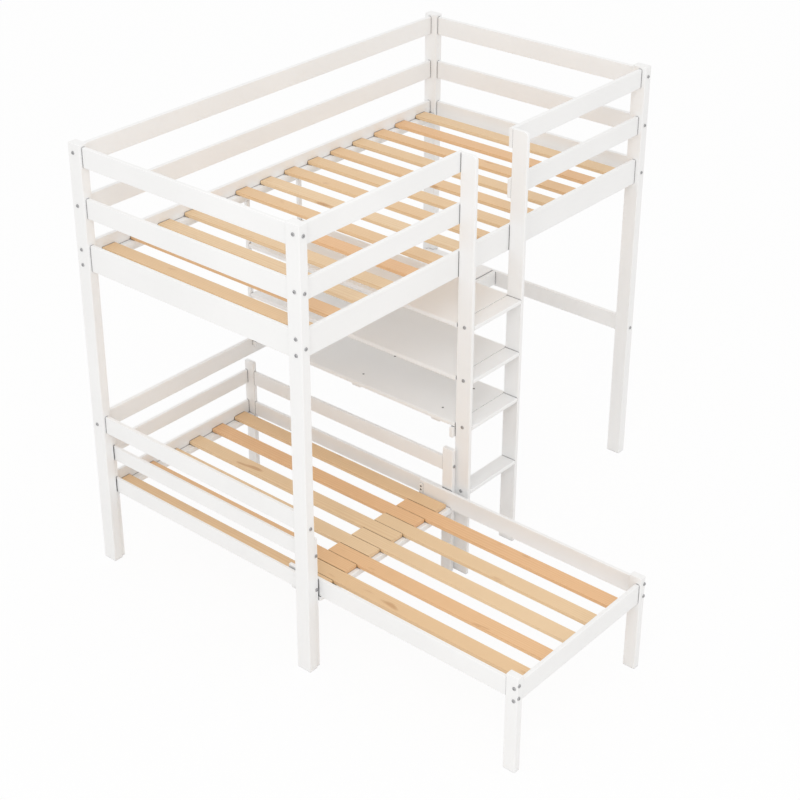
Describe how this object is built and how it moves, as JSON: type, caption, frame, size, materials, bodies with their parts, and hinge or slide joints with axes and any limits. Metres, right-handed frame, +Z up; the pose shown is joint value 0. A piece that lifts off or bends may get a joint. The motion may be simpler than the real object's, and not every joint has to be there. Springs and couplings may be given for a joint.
{
  "type": "loft bed",
  "caption": "Painted wooden loft bed with guard rails, a ladder, shelves and a corner desk below, and a slatted guest bed that slides out at one end.",
  "frame": {"origin": "middle of the footprint of the whole bed with the guest bed pulled out, on the floor", "axes": "+Z up, +X along the loft bed from the guest bed end to the desk end, +Y from the ladder side to the back"},
  "size_m": [1.969, 1.941, 1.717],
  "materials": {
    "painted_wood": "white satin paint on planed pine",
    "pine_slats": "natural pine, clear satin lacquer",
    "dark_steel": "blackened steel",
    "zinc_steel": "bright zinc plated steel",
    "beech_dowels": "raw beech"
  },
  "bodies": {
    "frame": {"post_front_left": "painted_wood", "post_front_right": "painted_wood", "post_back_left": "painted_wood", "post_back_right": "painted_wood", "bed_rail_front": "painted_wood", "bed_rail_back": "painted_wood", "bed_rail_left": "painted_wood", "bed_rail_right": "painted_wood", "guard_top_front_left": "painted_wood", "guard_top_front_right": "painted_wood", "guard_top_back": "painted_wood", "guard_top_left": "painted_wood", "guard_top_right": "painted_wood", "guard_mid_front_left": "painted_wood", "guard_mid_front_right": "painted_wood", "guard_mid_back": "painted_wood", "guard_mid_left": "painted_wood", "guard_mid_right": "painted_wood", "stretcher_left": "painted_wood", "stretcher_back": "painted_wood", "stretcher_right": "painted_wood", "slat_cleats": "painted_wood", "ladder_stile_left": "painted_wood", "ladder_stile_right": "painted_wood", "ladder_treads": "painted_wood", "shelf_bottom": "painted_wood", "shelf_middle": "painted_wood", "shelf_top": "painted_wood", "shelf_front_rail": "painted_wood", "shelf_desk_rail": "painted_wood", "shelf_uprights": "painted_wood", "board_battens": "painted_wood", "desk_board": "painted_wood", "desk_rail": "painted_wood", "guest_post_front_left": "painted_wood", "guest_post_front_right": "painted_wood", "guest_post_back_left": "painted_wood", "guest_post_back_right": "painted_wood", "guest_side_rails": "painted_wood", "guest_rail_back": "painted_wood", "guest_side_guards": "painted_wood", "guest_guard_back": "painted_wood", "guest_cross_member": "painted_wood", "guest_cleats": "painted_wood", "upper_slats": "pine_slats", "guest_slats": "pine_slats", "frame_bolts": "dark_steel", "wood_screws": "dark_steel", "insert_nuts": "zinc_steel", "dowels": "beech_dowels"},
    "pullout": {"pullout_legs": "painted_wood", "pullout_side_rails": "painted_wood", "pullout_end_rail": "painted_wood", "pullout_inner_rail": "painted_wood", "pullout_cleat": "painted_wood", "pullout_slats": "pine_slats", "pullout_bolts": "dark_steel", "pullout_nuts": "zinc_steel", "pullout_screws": "dark_steel", "inner_rail_brackets": "zinc_steel"}
  },
  "joints": [
    {"name": "pullout_slide", "type": "slide", "parent": "frame", "child": "pullout", "axis": [0, 1, 0], "range_m": [0, 0.79]}
  ]
}
